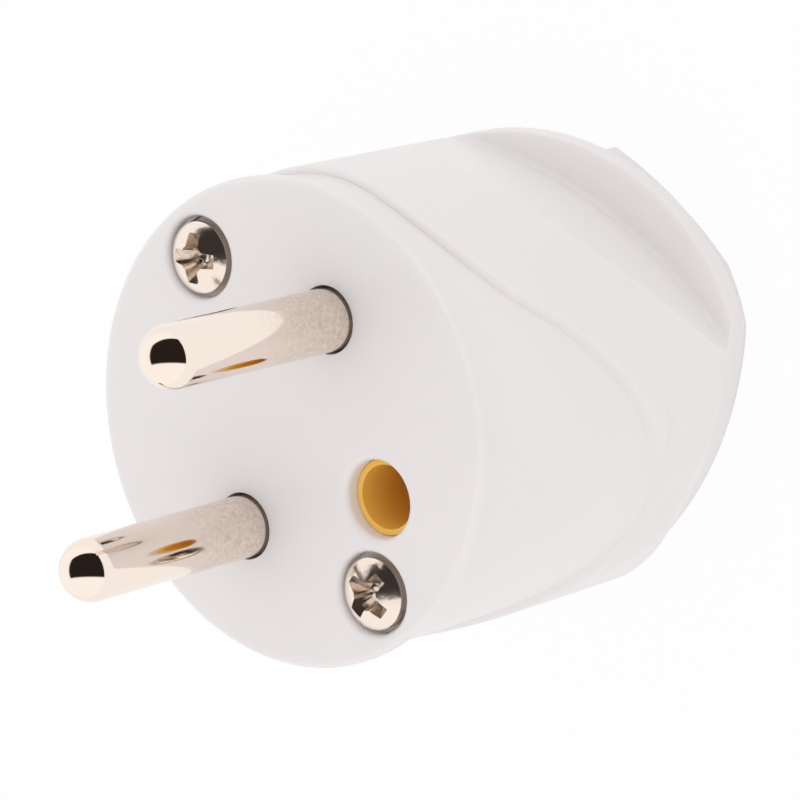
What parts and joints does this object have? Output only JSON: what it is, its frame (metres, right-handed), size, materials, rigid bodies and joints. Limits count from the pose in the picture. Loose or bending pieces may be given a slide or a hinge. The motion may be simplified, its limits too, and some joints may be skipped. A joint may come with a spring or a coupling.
{
  "type": "angled power plug",
  "caption": "Rewirable angled power plug with round pins, a recessed earth contact, finger scoops and a side cord outlet.",
  "frame": {"origin": "middle of the flat engagement face, between the two live pins", "axes": "+Z out of the face along the pins, +Y from pin to pin, +X to the earth hole; the cord outlet points to -X"},
  "size_m": [0.0397, 0.0374, 0.054],
  "materials": {
    "white_plastic": "moulded white, soft gloss",
    "inner_plastic": "moulded off-white",
    "nickel_plate": "bright nickel plate over turned brass",
    "bright_screws": "nickel-plated steel",
    "brass": "turned",
    "spring_steel": "bright",
    "zinc_plated_steel": "zinc plated"
  },
  "bodies": {
    "root": {"housing": "white_plastic", "face_plate": "white_plastic", "contact_retainer": "inner_plastic", "cord_clamp": "inner_plastic", "upper_pin": "nickel_plate", "lower_pin": "nickel_plate", "upper_cover_screw": "bright_screws", "lower_cover_screw": "bright_screws", "earth_socket": "brass", "upper_insert": "brass", "lower_insert": "brass", "earth_spring": "spring_steel", "upper_wire_leaf": "spring_steel", "lower_wire_leaf": "spring_steel", "earth_wire_leaf": "spring_steel", "upper_terminal_screw": "zinc_plated_steel", "lower_terminal_screw": "zinc_plated_steel", "earth_terminal_screw": "zinc_plated_steel", "retainer_screw_1": "zinc_plated_steel", "retainer_screw_2": "zinc_plated_steel", "upper_clamp_screw": "zinc_plated_steel", "lower_clamp_screw": "zinc_plated_steel"}
  },
  "joints": []
}
